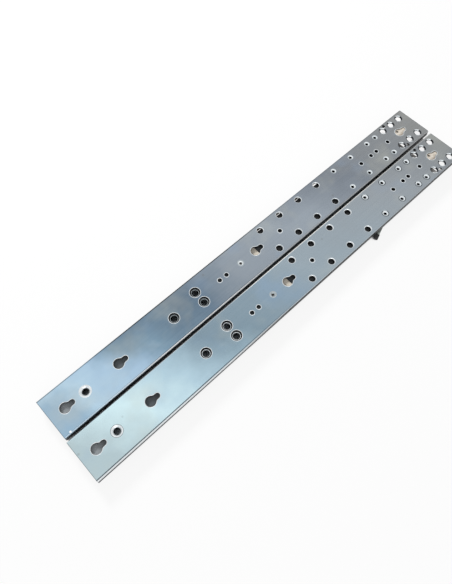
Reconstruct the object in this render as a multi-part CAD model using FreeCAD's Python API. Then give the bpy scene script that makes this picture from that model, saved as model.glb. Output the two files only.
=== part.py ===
import FreeCAD
import Part
import math
import os

# A pair of three-section ball-bearing slide rails for a rack, closed, lying side by side on a
# table with the flat web of the outer member up. +X points to the front end, the way the rails
# pull out, +Y from the left rail to the right one, +Z up. The origin is under the middle of the
# pair. Places along a rail are measured back from its front end, or forward from its rear end.

# Overall sizes of one rail, and how the two lie
RAIL_LENGTH = 535.0
RAIL_WIDTH = 46.4
RAIL_DEPTH = 13.4
RAIL_GAP = 2.2
RAIL_STAGGER = 1.0

# Sheet thicknesses and the running gap between the outer and the middle web
OUTER_SHEET = 1.5
MIDDLE_SHEET = 1.2
INNER_SHEET = 1.2
WEB_GAP = 1.8

# Ball rows and rolled raceways
BALL_DIAMETER = 4.0
RACE_CLEARANCE = 0.2
ROW_DROP = 2.7
OUTER_LIP_WRAP = 65.0
OUTER_SHOULDER_WRAP = 25.0
OUTER_SHOULDER_RADIUS = 1.5
OUTER_BEND_RADIUS = 1.3
MIDDLE_LIP_WRAP = 33.0
MIDDLE_SHOULDER_WRAP = 15.0
MIDDLE_BEND_RADIUS = 1.0
INNER_WRAP = 35.0

# Ball cages
CAGE_THICKNESS = 0.8
CAGE_ABOVE = 2.8
CAGE_BELOW = 1.8
CAGE_CORNER = 0.9
CAGE_END = 7.0
CAGE_MARGIN = 8.0
POCKET_CLEARANCE = 0.15
BALLS_PER_ROW = 4

# Ends of the inner members, and the play left at each stop
MIDDLE_SETBACK = 2.0
REAR_SPACE = 45.0
INNER_SHORTFALL = 13.0
STOP_PLAY = 0.3

# Keyholes in the outer web
KEYHOLES = (16.4, 78.5, 261.6)
KEYHOLE_DIAMETER = 10.6
KEYHOLE_SLOT = 5.6
KEYHOLE_REACH = 10.6
KEYHOLE_NECK_ROUND = 4.0
REAR_KEYHOLE_FROM_REAR = 28.5

# Other single holes along the centre line of the outer web
COUNTERSINK_PLACE = 39.2
COUNTERSINK_HOLE = 6.4
COUNTERSINK_TOP = 11.4
COUNTERSINK_DEPTH = 1.3
ACCESS_PLACE = 147.7
ACCESS_PAIR_PLACE = 181.8
ACCESS_PAIR_HALF = 6.95
ACCESS_DIAMETER = 11.2
SMALL_DIAMETER = 4.7
SMALL_PLACES = (209.9, 219.3)
SMALL_FROM_REAR = (236.0, 99.5, 81.7, 72.1, 50.7)
EDGE_HOLE_FROM_REAR = 35.7
EDGE_HOLE_HALF = 18.9
EDGE_HOLE_DIAMETER = 4.2

# Two rows of bracket holes behind the middle of the rail
ROW_HALF = 14.8
ROW_LAST_FROM_REAR = 11.8
ROW_FINE_PITCH = 15.0
ROW_FINE_STEPS = 4
ROW_COARSE_PITCH = 30.0
ROW_COARSE_STEPS = 6
ROW_DIAMETER = 7.0
TAPPED_RANGE = (3, 7)
ROLL_OVER_WIDTH = 0.6
ROLL_OVER_DEPTH = 0.7
TAPPED_DIAMETER = 3.3
MOUTH_WIDTH = 1.4
MOUTH_DEPTH = 0.65
COLLAR_WALL = 0.9
COLLAR_DROP = 1.3

# Pierced stop nub of the outer web
NUB_PLACE = 239.9
NUB_HOLE = 4.4

# Stop tongue at the rear of the middle web
TONGUE_WIDTH = 6.0
TONGUE_RISE = 1.3
TONGUE_ROOT = 6.0
TONGUE_BEND = 0.9

# Holes of the middle and inner webs
MIDDLE_ACCESS_DIAMETER = 7.4
CHASSIS_DIAMETER = 4.5
CHASSIS_FRONT_PLACE = 60.0
CHASSIS_REAR_PLACE = 330.0

# Nylon pieces: rear bumper of the outer member, bumper and stop block of the middle member
FIT = 0.1
BUMPER_LENGTH = 30.0
BUMPER_WIDTH = 18.0
BUMPER_DROP = 6.9
BUMPER_ROUND = 2.0
BUMPER_WALL = 2.2
BUMPER_SLOT = 2.4
BOSS_RECESS = 0.7
PEG_DIAMETER = 2.8
INNER_BUMPER_LENGTH = 10.0
INNER_BUMPER_INSET = 1.6
INNER_BUMPER_DROP = 5.6
INNER_BUMPER_PEG_HALF = 7.0
BLOCK_REAR_PLACE = 264.5
BLOCK_LENGTH = 28.5
BLOCK_WIDTH = 15.0
BLOCK_RIM = 3.2
BLOCK_RIM_DEPTH = 1.2
LEG_LENGTH = 8.5
LEG_WIDTH = 3.8
LEG_SIDE = -10.0
LEG_DROP = 4.3

# Release lever of the inner member
LEVER_FROM_INNER_REAR = 45.0
LEVER_SIDE = 1.0
LEVER_SHEET = 1.0
LEVER_PLAY = 0.1
LEVER_EYE_RADIUS = 5.5
LEVER_ARM_WIDTH = 4.0
LEVER_ARM_ANGLE = 30.0
LEVER_ARM_RUN = 30.0
LEVER_CRANK = 11.0
LEVER_CRANK_RADIUS = 12.0
LEVER_TIP_RUN = 28.2
LEVER_TRAVEL = 4.5
HOOK_ARM_WIDTH = 5.0
HOOK_ANGLE = 190.0
HOOK_RUN = 38.0
HOOK_WIDTH = 4.0
HOOK_BEND = 1.2
HOOK_RISE = 5.0
TIP_LENGTH = 6.5
TIP_WALL = 0.4
TIP_ROUND = 1.2
LEVER_NOTCH_SPAN = 36.0
LEVER_NOTCH_CLEARANCE = 0.4

# Pivot rivet and torsion spring of the lever
RIVET_DIAMETER = 4.0
RIVET_PLAY = 0.15
RIVET_FOOT_DIAMETER = 6.8
RIVET_HEAD_DIAMETER = 8.0
RIVET_HEAD_HEIGHT = 1.0
WIRE_DIAMETER = 0.7
COIL_RADIUS = 3.2
COIL_TURNS = 3
COIL_PITCH = 0.68
SPRING_HOLE = 1.1
SPRING_LEVER_REACH = 12.0
SPRING_WEB_REACH = 9.0
SPRING_WEB_ANGLE = 150.0
SPRING_WEB_HOLE = 2.6

# Heights that follow from the sizes above, from the table up
OUTER_UNDER = RAIL_DEPTH - OUTER_SHEET
MIDDLE_TOP = OUTER_UNDER - WEB_GAP
MIDDLE_UNDER = MIDDLE_TOP - MIDDLE_SHEET
LEVER_UNDER = INNER_SHEET + LEVER_PLAY
LEVER_TOP = LEVER_UNDER + LEVER_SHEET
SPRING_UNDER = LEVER_TOP + LEVER_PLAY
COIL_HEIGHT = WIRE_DIAMETER + (COIL_TURNS - 1) * COIL_PITCH
RIVET_NECK_TOP = SPRING_UNDER + COIL_HEIGHT + LEVER_PLAY

# Raceway radii at the middle of each sheet, and the two ball rows of one side
BALL_RADIUS = BALL_DIAMETER / 2
RACE_RADIUS = BALL_RADIUS + RACE_CLEARANCE
OUTER_RACE = RACE_RADIUS + OUTER_SHEET / 2
MIDDLE_RACE = RACE_RADIUS + MIDDLE_SHEET / 2
INNER_RACE = RACE_RADIUS + INNER_SHEET / 2


def sine(degrees):
    return math.sin(math.radians(degrees))


def cosine(degrees):
    return math.cos(math.radians(degrees))


OUTER_ROW_Y = RAIL_WIDTH / 2 - OUTER_SHEET - RACE_RADIUS
OUTER_ROW_Z = (MIDDLE_TOP - MIDDLE_SHEET / 2 - MIDDLE_RACE * sine(MIDDLE_SHOULDER_WRAP)
               - MIDDLE_BEND_RADIUS * (1 + sine(MIDDLE_SHOULDER_WRAP)))
INNER_ROW_Y = OUTER_ROW_Y - math.sqrt((2 * MIDDLE_RACE) ** 2 - ROW_DROP ** 2)
INNER_ROW_Z = OUTER_ROW_Z - ROW_DROP

# Ends, stops and travel along the rail, measured back from the front end
MIDDLE_REAR = RAIL_LENGTH - REAR_SPACE
INNER_REAR = MIDDLE_REAR - INNER_SHORTFALL
LEVER_PLACE = INNER_REAR - LEVER_FROM_INNER_REAR
COLLAR_RADIUS = NUB_HOLE / 2 + COLLAR_WALL
TONGUE_FACE = MIDDLE_REAR - MIDDLE_SHEET
MIDDLE_TRAVEL = TONGUE_FACE - (NUB_PLACE + COLLAR_RADIUS) - STOP_PLAY
REAR_KEYHOLE = RAIL_LENGTH - REAR_KEYHOLE_FROM_REAR


def along(place):
    """X of a place measured back from the front end of a rail."""
    return RAIL_LENGTH / 2 - place


def lever_point(run, angle):
    """Point at a distance from the lever's pivot, in a direction seen from above."""
    return along(LEVER_PLACE) + run * cosine(angle), LEVER_SIDE + run * sine(angle)


HOOK_FACE = (LEVER_PLACE - (HOOK_RUN - LEVER_SHEET / 2) * cosine(HOOK_ANGLE)
             - HOOK_WIDTH / 2 * abs(sine(HOOK_ANGLE)))
INNER_TRAVEL = HOOK_FACE - BLOCK_REAR_PLACE - STOP_PLAY


def section(y, z):
    """Place a cross-section point of a rail at its rear end."""
    return FreeCAD.Vector(-RAIL_LENGTH / 2, y, z)


def plan(x, y):
    """Place a point of a flat piece on the table plane."""
    return FreeCAD.Vector(x, y, 0)


def bent_strip(start, heading, steps, thickness, place):
    """Face of a bent strip. A step is a straight run, or (turn, radius) of its middle line."""
    here = start
    sides = {1: [], -1: []}

    def shifted(point, direction, distance):
        return (point[0] + distance * cosine(direction), point[1] + distance * sine(direction))

    def edge_point(point, direction, side):
        return place(*shifted(point, direction + 90, side * thickness / 2))

    caps = [[edge_point(here, heading, side) for side in sides]]
    for step in steps:
        if isinstance(step, tuple):
            turn, radius = step
            inward = math.copysign(90, turn)
            centre = shifted(here, heading + inward, radius)
            poses = []
            for share in (0, 0.5, 1):
                direction = heading + share * turn
                poses.append((shifted(centre, direction - inward, radius), direction))
        else:
            poses = [(here, heading), (shifted(here, heading, step), heading)]
        for side, edges in sides.items():
            points = [edge_point(point, direction, side) for point, direction in poses]
            curve = Part.Arc(*points) if len(points) == 3 else Part.LineSegment(*points)
            edges.append(curve.toShape())
        here, heading = poses[-1]
    caps.append([edge_point(here, heading, side) for side in sides])
    edges = sides[1] + sides[-1] + [Part.LineSegment(*cap).toShape() for cap in caps]
    return Part.Face(Part.Wire(Part.__sortEdges__(edges)))


def channel(start, heading, flank, half_web, thickness, front, rear):
    """Rolled channel between two places along the rail, from the path of its right flank."""
    steps = flank + [2 * half_web] + flank[::-1]
    face = bent_strip(start, heading, steps, thickness, section)
    solid = face.extrude(FreeCAD.Vector(rear - front, 0, 0))
    solid.translate(FreeCAD.Vector(RAIL_LENGTH - rear, 0, 0))
    return solid


def on_circle(row_y, row_z, radius, angle):
    return row_y + radius * cosine(angle), row_z + radius * sine(angle)


def block(front, rear, y_low, y_high, z_low, z_high):
    """Box between two places along the rail."""
    corner = FreeCAD.Vector(along(rear), y_low, z_low)
    return Part.makeBox(rear - front, y_high - y_low, z_high - z_low, corner)


def pin(place, y, diameter, z_low, z_high):
    """Upright cylinder at a place along the rail."""
    return Part.makeCylinder(diameter / 2, z_high - z_low, FreeCAD.Vector(along(place), y, z_low))


def cone(place, y, low_diameter, high_diameter, z_low, z_high):
    foot = FreeCAD.Vector(along(place), y, z_low)
    return Part.makeCone(low_diameter / 2, high_diameter / 2, z_high - z_low, foot)


def keyhole(place, inset, z_low, z_high):
    """Keyhole prism with its slot to the rear and a rounded neck, smaller all round by an inset."""
    eye = KEYHOLE_DIAMETER / 2 - inset
    slot = KEYHOLE_SLOT / 2 - inset
    slot_end = place + KEYHOLE_REACH - KEYHOLE_SLOT / 2
    shape = pin(place, 0, 2 * eye, z_low, z_high)
    shape = shape.fuse(block(place, slot_end, -slot, slot, z_low, z_high))
    shape = shape.fuse(pin(slot_end, 0, 2 * slot, z_low, z_high)).removeSplitter()
    neck = along(place + math.sqrt(eye ** 2 - slot ** 2))
    necks = [edge for edge in shape.Edges if edge.BoundBox.XLength < FIT / 2
             and abs(edge.CenterOfMass.x - neck) < FIT / 2]
    return shape.makeFillet(KEYHOLE_NECK_ROUND + inset, necks)


def mouth(place, y, hole, width, depth):
    """Cutter for the drawn-in mouth of a punched hole, down from the top face."""
    return cone(place, y, hole, hole + 2 * width, RAIL_DEPTH - depth, RAIL_DEPTH)


def row_places():
    """Places of the bracket holes of one row, from the front one to the last."""
    last = RAIL_LENGTH - ROW_LAST_FROM_REAR
    fine = [last - step * ROW_FINE_PITCH for step in range(ROW_FINE_STEPS + 1)]
    coarse = [fine[-1] - step * ROW_COARSE_PITCH for step in range(1, ROW_COARSE_STEPS + 1)]
    return sorted(fine + coarse)


def access_spots():
    """Driver holes of the outer web, in line with holes of the two webs below."""
    pair = [(ACCESS_PAIR_PLACE, side * ACCESS_PAIR_HALF) for side in (-1, 1)]
    return [(ACCESS_PLACE, 0)] + pair


def outer_member():
    """Rack member: flat web up, flanks rolled round the outer ball rows."""
    wall_y = (OUTER_ROW_Y + OUTER_RACE * cosine(OUTER_SHOULDER_WRAP)
              - OUTER_SHOULDER_RADIUS * (1 - cosine(OUTER_SHOULDER_WRAP)))
    wall_z = OUTER_ROW_Z + (OUTER_RACE + OUTER_SHOULDER_RADIUS) * sine(OUTER_SHOULDER_WRAP)
    wall_top = RAIL_DEPTH - OUTER_SHEET / 2 - OUTER_BEND_RADIUS
    flank = [(OUTER_LIP_WRAP + OUTER_SHOULDER_WRAP, OUTER_RACE),
             (-OUTER_SHOULDER_WRAP, OUTER_SHOULDER_RADIUS),
             wall_top - wall_z,
             (90, OUTER_BEND_RADIUS)]
    lip = on_circle(OUTER_ROW_Y, OUTER_ROW_Z, OUTER_RACE, -OUTER_LIP_WRAP)
    solid = channel(lip, 90 - OUTER_LIP_WRAP, flank, wall_y - OUTER_BEND_RADIUS, OUTER_SHEET,
                    0, RAIL_LENGTH)

    low, high = OUTER_UNDER - COLLAR_DROP, RAIL_DEPTH
    pierced = [(NUB_PLACE, 0, NUB_HOLE)]
    plain = [(place, y, ACCESS_DIAMETER) for place, y in access_spots()]
    plain += [(place, 0, SMALL_DIAMETER) for place in SMALL_PLACES]
    plain += [(RAIL_LENGTH - back, 0, SMALL_DIAMETER) for back in SMALL_FROM_REAR]
    plain.append((COUNTERSINK_PLACE, 0, COUNTERSINK_HOLE))
    rows = []
    for side in (-1, 1):
        plain.append((RAIL_LENGTH - EDGE_HOLE_FROM_REAR, side * EDGE_HOLE_HALF, EDGE_HOLE_DIAMETER))
        for number, place in enumerate(row_places()):
            tapped = TAPPED_RANGE[0] < number <= TAPPED_RANGE[1]
            spot = (place, side * ROW_HALF, TAPPED_DIAMETER if tapped else ROW_DIAMETER)
            (pierced if tapped else rows).append(spot)

    collars = [pin(place, y, hole + 2 * COLLAR_WALL, low, OUTER_UNDER + OUTER_SHEET / 2)
               for place, y, hole in pierced]
    solid = solid.fuse(collars)
    cutters = [pin(place, y, hole, low, high) for place, y, hole in plain + rows + pierced]
    cutters += [mouth(*spot, MOUTH_WIDTH, MOUTH_DEPTH) for spot in pierced]
    cutters += [mouth(*spot, ROLL_OVER_WIDTH, ROLL_OVER_DEPTH) for spot in rows]
    cutters += [keyhole(place, 0, OUTER_UNDER, high) for place in KEYHOLES + (REAR_KEYHOLE,)]
    cutters.append(cone(COUNTERSINK_PLACE, 0, COUNTERSINK_HOLE, COUNTERSINK_TOP,
                        RAIL_DEPTH - COUNTERSINK_DEPTH, RAIL_DEPTH))
    return solid.cut(cutters).removeSplitter()


def middle_member():
    """Middle member: an S-shaped flank between the outer and the inner ball row."""
    lean = math.degrees(math.asin(ROW_DROP / (2 * MIDDLE_RACE)))
    flank = [(MIDDLE_LIP_WRAP + lean, MIDDLE_RACE),
             (-(lean + MIDDLE_SHOULDER_WRAP), MIDDLE_RACE),
             (90 + MIDDLE_SHOULDER_WRAP, MIDDLE_BEND_RADIUS)]
    half_web = (OUTER_ROW_Y - (MIDDLE_RACE + MIDDLE_BEND_RADIUS) * cosine(MIDDLE_SHOULDER_WRAP))
    lip = on_circle(INNER_ROW_Y, INNER_ROW_Z, MIDDLE_RACE, -MIDDLE_LIP_WRAP)
    solid = channel(lip, 90 - MIDDLE_LIP_WRAP, flank, half_web, MIDDLE_SHEET,
                    MIDDLE_SETBACK, MIDDLE_REAR)

    bend = TONGUE_BEND + MIDDLE_SHEET / 2
    web_middle = MIDDLE_TOP - MIDDLE_SHEET / 2
    bend_start = MIDDLE_REAR - MIDDLE_SHEET / 2 - bend
    rise = MIDDLE_TOP + TONGUE_RISE - web_middle - bend
    slot_front = bend_start - TONGUE_ROOT
    gap = block(slot_front, MIDDLE_REAR, -TONGUE_WIDTH, TONGUE_WIDTH, MIDDLE_UNDER, MIDDLE_TOP)
    tongue = bent_strip((-along(slot_front), web_middle), 0, [TONGUE_ROOT, (90, bend), rise],
                        MIDDLE_SHEET, lambda back, z: FreeCAD.Vector(-back, -TONGUE_WIDTH / 2, z))
    tongue = tongue.extrude(FreeCAD.Vector(0, TONGUE_WIDTH, 0))
    solid = solid.cut(gap).fuse(tongue)

    cutters = [pin(place, y, MIDDLE_ACCESS_DIAMETER, MIDDLE_UNDER, MIDDLE_TOP)
               for place, y in [(COUNTERSINK_PLACE, 0)] + access_spots()]
    cutters.append(block(BLOCK_REAR_PLACE - BLOCK_LENGTH - FIT, BLOCK_REAR_PLACE + FIT,
                         -BLOCK_WIDTH / 2 - FIT, BLOCK_WIDTH / 2 + FIT, MIDDLE_UNDER, MIDDLE_TOP))
    cutters += [pin(place, y, PEG_DIAMETER + 2 * FIT, MIDDLE_UNDER, MIDDLE_TOP)
                for place, y in inner_bumper_pegs()]
    return solid.cut(cutters).removeSplitter()


def lever_arm(grow, reach):
    """Plan outline of the arm from the pivot to the tip, wider and longer by a margin."""
    steps = [LEVER_ARM_RUN, (-LEVER_CRANK, LEVER_CRANK_RADIUS), LEVER_TIP_RUN + reach]
    return bent_strip(lever_point(0, 0), LEVER_ARM_ANGLE, steps, LEVER_ARM_WIDTH + 2 * grow, plan)


def lifted(face, z_low, z_high):
    """Upright prism on a plan outline."""
    solid = face.extrude(FreeCAD.Vector(0, 0, z_high - z_low))
    solid.translate(FreeCAD.Vector(0, 0, z_low))
    return solid


def inner_member():
    """Chassis member: web on the table, flanks up inside the inner ball rows."""
    bend = ((INNER_ROW_Z - INNER_RACE * sine(INNER_WRAP) - INNER_SHEET / 2)
            / (1 + sine(INNER_WRAP)))
    half_web = INNER_ROW_Y - (INNER_RACE + bend) * cosine(INNER_WRAP)
    flank = [(2 * INNER_WRAP, INNER_RACE), (-90 - INNER_WRAP, bend)]
    top = on_circle(INNER_ROW_Y, INNER_ROW_Z, INNER_RACE, 180 - INNER_WRAP)
    solid = channel(top, 270 - INNER_WRAP, flank, half_web, INNER_SHEET, 0, INNER_REAR)

    under, over = 0, INNER_SHEET
    cutters = [pin(place, y, CHASSIS_DIAMETER, under, over) for place, y in chassis_spots()]
    cutters.append(cone(LEVER_PLACE, LEVER_SIDE, RIVET_FOOT_DIAMETER + 2 * FIT,
                        RIVET_DIAMETER + 2 * FIT, under, over))
    web_x, web_y = lever_point(SPRING_WEB_REACH, SPRING_WEB_ANGLE - LEVER_TRAVEL / 2)
    cutters.append(pin(RAIL_LENGTH / 2 - web_x, web_y, SPRING_WEB_HOLE, under, over))
    notch_front = LEVER_PLACE - LEVER_NOTCH_SPAN
    cutters.append(block(notch_front, LEVER_PLACE, LEVER_SIDE + LEVER_EYE_RADIUS, RAIL_WIDTH / 2,
                         over, LEVER_TOP + LEVER_NOTCH_CLEARANCE))
    return solid.cut(cutters).removeSplitter()


def chassis_spots():
    """Screw holes of the inner web, three of them under the driver holes."""
    return access_spots() + [(CHASSIS_FRONT_PLACE, 0), (CHASSIS_REAR_PLACE, 0)]


def ball_places(front, rear):
    """Even ball places in a cage between two places along the rail."""
    first, last = front + CAGE_END, rear - CAGE_END
    pitch = (last - first) / (BALLS_PER_ROW - 1)
    return [first + number * pitch for number in range(BALLS_PER_ROW)]


def cage(front, rear, y, z):
    """Flat strip standing in a ball row, with a pocket open below round every ball."""
    low, high = z - CAGE_BELOW, z + CAGE_ABOVE
    strip = block(front, rear, y - CAGE_THICKNESS / 2, y + CAGE_THICKNESS / 2, low, high)
    ends = [edge for edge in strip.Edges if abs(edge.tangentAt(edge.FirstParameter).y) > 0.5]
    strip = strip.makeFillet(CAGE_CORNER, ends)
    pocket = BALL_RADIUS + POCKET_CLEARANCE
    cutters = [Part.makeSphere(pocket, FreeCAD.Vector(along(place), y, z))
               for place in ball_places(front, rear)]
    return strip.cut(cutters)


def balls(front, rear, row_y, row_z):
    """All the balls of a stage, in both rows."""
    return [Part.makeSphere(BALL_RADIUS, FreeCAD.Vector(along(place), side * row_y, row_z))
            for side in (-1, 1) for place in ball_places(front, rear)]


def rounded_block(front, rear, half_width, z_low, z_high):
    """Box between two places, with its upright corners rounded."""
    shape = block(front, rear, -half_width, half_width, z_low, z_high)
    upright = [edge for edge in shape.Edges if abs(edge.tangentAt(edge.FirstParameter).z) > 0.5]
    return shape.makeFillet(BUMPER_ROUND, upright)


def rear_bumper():
    """Nylon cushion under the rear end of the outer web, its boss snapped into the keyhole."""
    front = MIDDLE_REAR + STOP_PLAY
    half = BUMPER_WIDTH / 2
    low = OUTER_UNDER - BUMPER_DROP
    shape = rounded_block(front, front + BUMPER_LENGTH, half, low, OUTER_UNDER)
    slot_front = front + BUMPER_WALL
    shape = shape.cut(block(slot_front, slot_front + BUMPER_SLOT, -half + BUMPER_WALL,
                            half - BUMPER_WALL, low, OUTER_UNDER))
    boss = keyhole(REAR_KEYHOLE, FIT, OUTER_UNDER, RAIL_DEPTH - BOSS_RECESS)
    return shape.fuse(boss).removeSplitter()


def inner_bumper_pegs():
    place = INNER_REAR + STOP_PLAY + INNER_BUMPER_LENGTH / 2
    return [(place, side * INNER_BUMPER_PEG_HALF) for side in (-1, 1)]


def inner_bumper():
    """Nylon cushion under the rear of the middle web, pegged up through it."""
    front = INNER_REAR + STOP_PLAY
    shape = rounded_block(front, front + INNER_BUMPER_LENGTH, INNER_ROW_Y - INNER_BUMPER_INSET,
                          MIDDLE_UNDER - INNER_BUMPER_DROP, MIDDLE_UNDER)
    pegs = [pin(place, y, PEG_DIAMETER, MIDDLE_UNDER, MIDDLE_TOP)
            for place, y in inner_bumper_pegs()]
    return shape.fuse(pegs).removeSplitter()


def stop_block():
    """Nylon block pressed into a window of the middle web, with the leg that stops the hook."""
    front = BLOCK_REAR_PLACE - BLOCK_LENGTH
    rim_under = MIDDLE_UNDER - BLOCK_RIM_DEPTH
    cap = block(front, BLOCK_REAR_PLACE, -BLOCK_WIDTH / 2, BLOCK_WIDTH / 2,
                MIDDLE_UNDER, MIDDLE_TOP)
    rim = rounded_block(front - BLOCK_RIM, BLOCK_REAR_PLACE, BLOCK_WIDTH / 2 + BLOCK_RIM,
                        rim_under, MIDDLE_UNDER)
    leg = block(BLOCK_REAR_PLACE - LEG_LENGTH, BLOCK_REAR_PLACE, LEG_SIDE, LEG_SIDE + LEG_WIDTH,
                MIDDLE_UNDER - LEG_DROP, rim_under)
    return cap.fuse([rim, leg]).removeSplitter()


def release_lever():
    """Flat steel lever with a cranked thumb arm and a hook bent up at its rear end."""
    eye = pin(LEVER_PLACE, LEVER_SIDE, 2 * LEVER_EYE_RADIUS, LEVER_UNDER, LEVER_TOP)
    arm = lifted(lever_arm(0, 0), LEVER_UNDER, LEVER_TOP)
    straight = HOOK_RUN - HOOK_BEND - LEVER_SHEET / 2
    hook_arm = lifted(bent_strip(lever_point(0, 0), HOOK_ANGLE, [straight], HOOK_ARM_WIDTH, plan),
                      LEVER_UNDER, LEVER_TOP)
    bend = HOOK_BEND + LEVER_SHEET / 2
    root = LEVER_EYE_RADIUS
    profile = bent_strip((0, LEVER_UNDER + LEVER_SHEET / 2), 0, [root, (90, bend), HOOK_RISE],
                         LEVER_SHEET, lambda back, z: FreeCAD.Vector(back, -HOOK_WIDTH / 2, z))
    hook = profile.extrude(FreeCAD.Vector(0, HOOK_WIDTH, 0))
    hook.translate(FreeCAD.Vector(HOOK_RUN - bend - root, 0, 0))
    hook.rotate(FreeCAD.Vector(0, 0, 0), FreeCAD.Vector(0, 0, 1), HOOK_ANGLE)
    hook.translate(FreeCAD.Vector(along(LEVER_PLACE), LEVER_SIDE, 0))
    shape = eye.fuse([arm, hook_arm, hook])
    spring_x, spring_y = lever_point(SPRING_LEVER_REACH, LEVER_ARM_ANGLE)
    cutters = [pin(LEVER_PLACE, LEVER_SIDE, RIVET_DIAMETER + 2 * RIVET_PLAY, LEVER_UNDER, LEVER_TOP),
               pin(RAIL_LENGTH / 2 - spring_x, spring_y, SPRING_HOLE, LEVER_UNDER, LEVER_TOP)]
    return shape.cut(cutters).removeSplitter()


def lever_tip():
    """Black thumb sleeve pushed over the end of the lever's arm."""
    run = LEVER_TIP_RUN - TIP_LENGTH
    whole = lifted(lever_arm(TIP_WALL + FIT, TIP_WALL + FIT), LEVER_UNDER - TIP_WALL - FIT,
                   LEVER_TOP + TIP_WALL + FIT)
    far = plan(*lever_point(2 * RAIL_WIDTH, LEVER_ARM_ANGLE))
    upright = [edge for edge in whole.Edges if abs(edge.tangentAt(edge.FirstParameter).z) > 0.5]
    upright.sort(key=lambda edge: edge.CenterOfMass.distanceToPoint(far))
    whole = whole.makeFillet(TIP_ROUND, upright[:2])
    core = lifted(lever_arm(FIT, FIT), LEVER_UNDER - FIT, LEVER_TOP + FIT)
    rest = lifted(lever_arm(LEVER_ARM_WIDTH, run - LEVER_TIP_RUN), 0, MIDDLE_UNDER)
    return whole.cut([core, rest])


def lever_pivot():
    """Shoulder rivet, its foot flush in the inner web."""
    foot = cone(LEVER_PLACE, LEVER_SIDE, RIVET_FOOT_DIAMETER, RIVET_DIAMETER, 0, INNER_SHEET)
    neck = pin(LEVER_PLACE, LEVER_SIDE, RIVET_DIAMETER, INNER_SHEET, RIVET_NECK_TOP)
    head = pin(LEVER_PLACE, LEVER_SIDE, RIVET_HEAD_DIAMETER, RIVET_NECK_TOP,
               RIVET_NECK_TOP + RIVET_HEAD_HEIGHT)
    rim = max(head.Edges, key=lambda edge: edge.BoundBox.ZMin)
    head = head.makeFillet(RIVET_HEAD_HEIGHT / 2, [rim])
    return foot.fuse([neck, head]).removeSplitter()


def wire_leg(angle, reach, z, z_end):
    """Straight spring leg from the coil, with its end bent down."""
    start = FreeCAD.Vector(*lever_point(COIL_RADIUS, angle), z)
    corner = FreeCAD.Vector(*lever_point(reach, angle), z)
    radius = WIRE_DIAMETER / 2
    run = Part.makeCylinder(radius, corner.distanceToPoint(start), start, corner - start)
    knee = Part.makeSphere(radius, corner)
    drop = Part.makeCylinder(radius, z - z_end, corner, FreeCAD.Vector(0, 0, -1))
    return [run, knee, drop]


def lever_spring():
    """Torsion spring round the rivet, one leg in the lever and one in a hole of the inner web."""
    radius = WIRE_DIAMETER / 2
    low = SPRING_UNDER + radius
    high = low + (COIL_TURNS - 1) * COIL_PITCH
    bore = COIL_RADIUS - radius
    ridges = [FreeCAD.Vector(bore, 0, SPRING_UNDER)]
    for turn in range(COIL_TURNS):
        middle = low + turn * COIL_PITCH
        ridges += [FreeCAD.Vector(COIL_RADIUS, 0, middle - COIL_PITCH / 2),
                   FreeCAD.Vector(COIL_RADIUS + radius, 0, middle)]
    ridges += [FreeCAD.Vector(COIL_RADIUS, 0, high + COIL_PITCH / 2),
               FreeCAD.Vector(bore, 0, high + radius)]
    coil = Part.Face(Part.makePolygon(ridges + ridges[:1]))
    coil = coil.revolve(FreeCAD.Vector(0, 0, 0), FreeCAD.Vector(0, 0, 1), 360)
    coil.translate(FreeCAD.Vector(along(LEVER_PLACE), LEVER_SIDE, 0))
    legs = wire_leg(LEVER_ARM_ANGLE, SPRING_LEVER_REACH, low, LEVER_UNDER + LEVER_PLAY)
    legs += wire_leg(SPRING_WEB_ANGLE, SPRING_WEB_REACH, high, INNER_SHEET / 2)
    return coil.fuse(legs).removeSplitter()


def one_rail():
    """Every piece of a rail, by name, with the rail's middle on the X axis."""
    outer_front = MIDDLE_TRAVEL / 2 + CAGE_MARGIN
    outer_rear = MIDDLE_REAR - MIDDLE_TRAVEL / 2 - CAGE_MARGIN
    inner_front = MIDDLE_SETBACK + INNER_TRAVEL / 2 + CAGE_MARGIN
    inner_rear = INNER_REAR - INNER_TRAVEL / 2 - CAGE_MARGIN
    pieces = {
        "outer_member": outer_member(),
        "rear_bumper": rear_bumper(),
        "middle_member": middle_member(),
        "stop_block": stop_block(),
        "inner_bumper": inner_bumper(),
        "inner_member": inner_member(),
        "release_lever": release_lever(),
        "lever_tip": lever_tip(),
        "lever_pivot": lever_pivot(),
        "lever_spring": lever_spring(),
        "outer_balls": Part.makeCompound(balls(outer_front, outer_rear, OUTER_ROW_Y, OUTER_ROW_Z)),
        "inner_balls": Part.makeCompound(balls(inner_front, inner_rear, INNER_ROW_Y, INNER_ROW_Z)),
    }
    for name, side in (("upper", -1), ("lower", 1)):
        pieces["outer_cage_" + name] = cage(outer_front, outer_rear, side * OUTER_ROW_Y, OUTER_ROW_Z)
        pieces["inner_cage_" + name] = cage(inner_front, inner_rear, side * INNER_ROW_Y, INNER_ROW_Z)
    return pieces


def main():
    os.makedirs("parts", exist_ok=True)
    right_place = FreeCAD.Vector(RAIL_STAGGER, RAIL_WIDTH + RAIL_GAP, 0)
    places = {"left": FreeCAD.Vector(0, 0, 0), "right": right_place}
    pair = {}
    for name, shape in one_rail().items():
        for side, place in places.items():
            pair[side + "_" + name] = shape.translated(place)

    box = Part.makeCompound(list(pair.values())).optimalBoundingBox(False)
    middle = FreeCAD.Vector(box.Center.x, box.Center.y, box.ZMin)
    for name, shape in pair.items():
        shape.translated(-middle).exportStep("parts/" + name + ".step")

    print("pair %.2f x %.2f x %.2f mm" % (box.XLength, box.YLength, box.ZLength))
    print("left rail's middle at", -middle)
    print("middle travel %.2f, inner travel %.2f" % (MIDDLE_TRAVEL, INNER_TRAVEL))
    print("outer row y %.3f z %.3f, inner row y %.3f z %.3f"
          % (OUTER_ROW_Y, OUTER_ROW_Z, INNER_ROW_Y, INNER_ROW_Z))


main()
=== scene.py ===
import math
from collections import namedtuple

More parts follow.
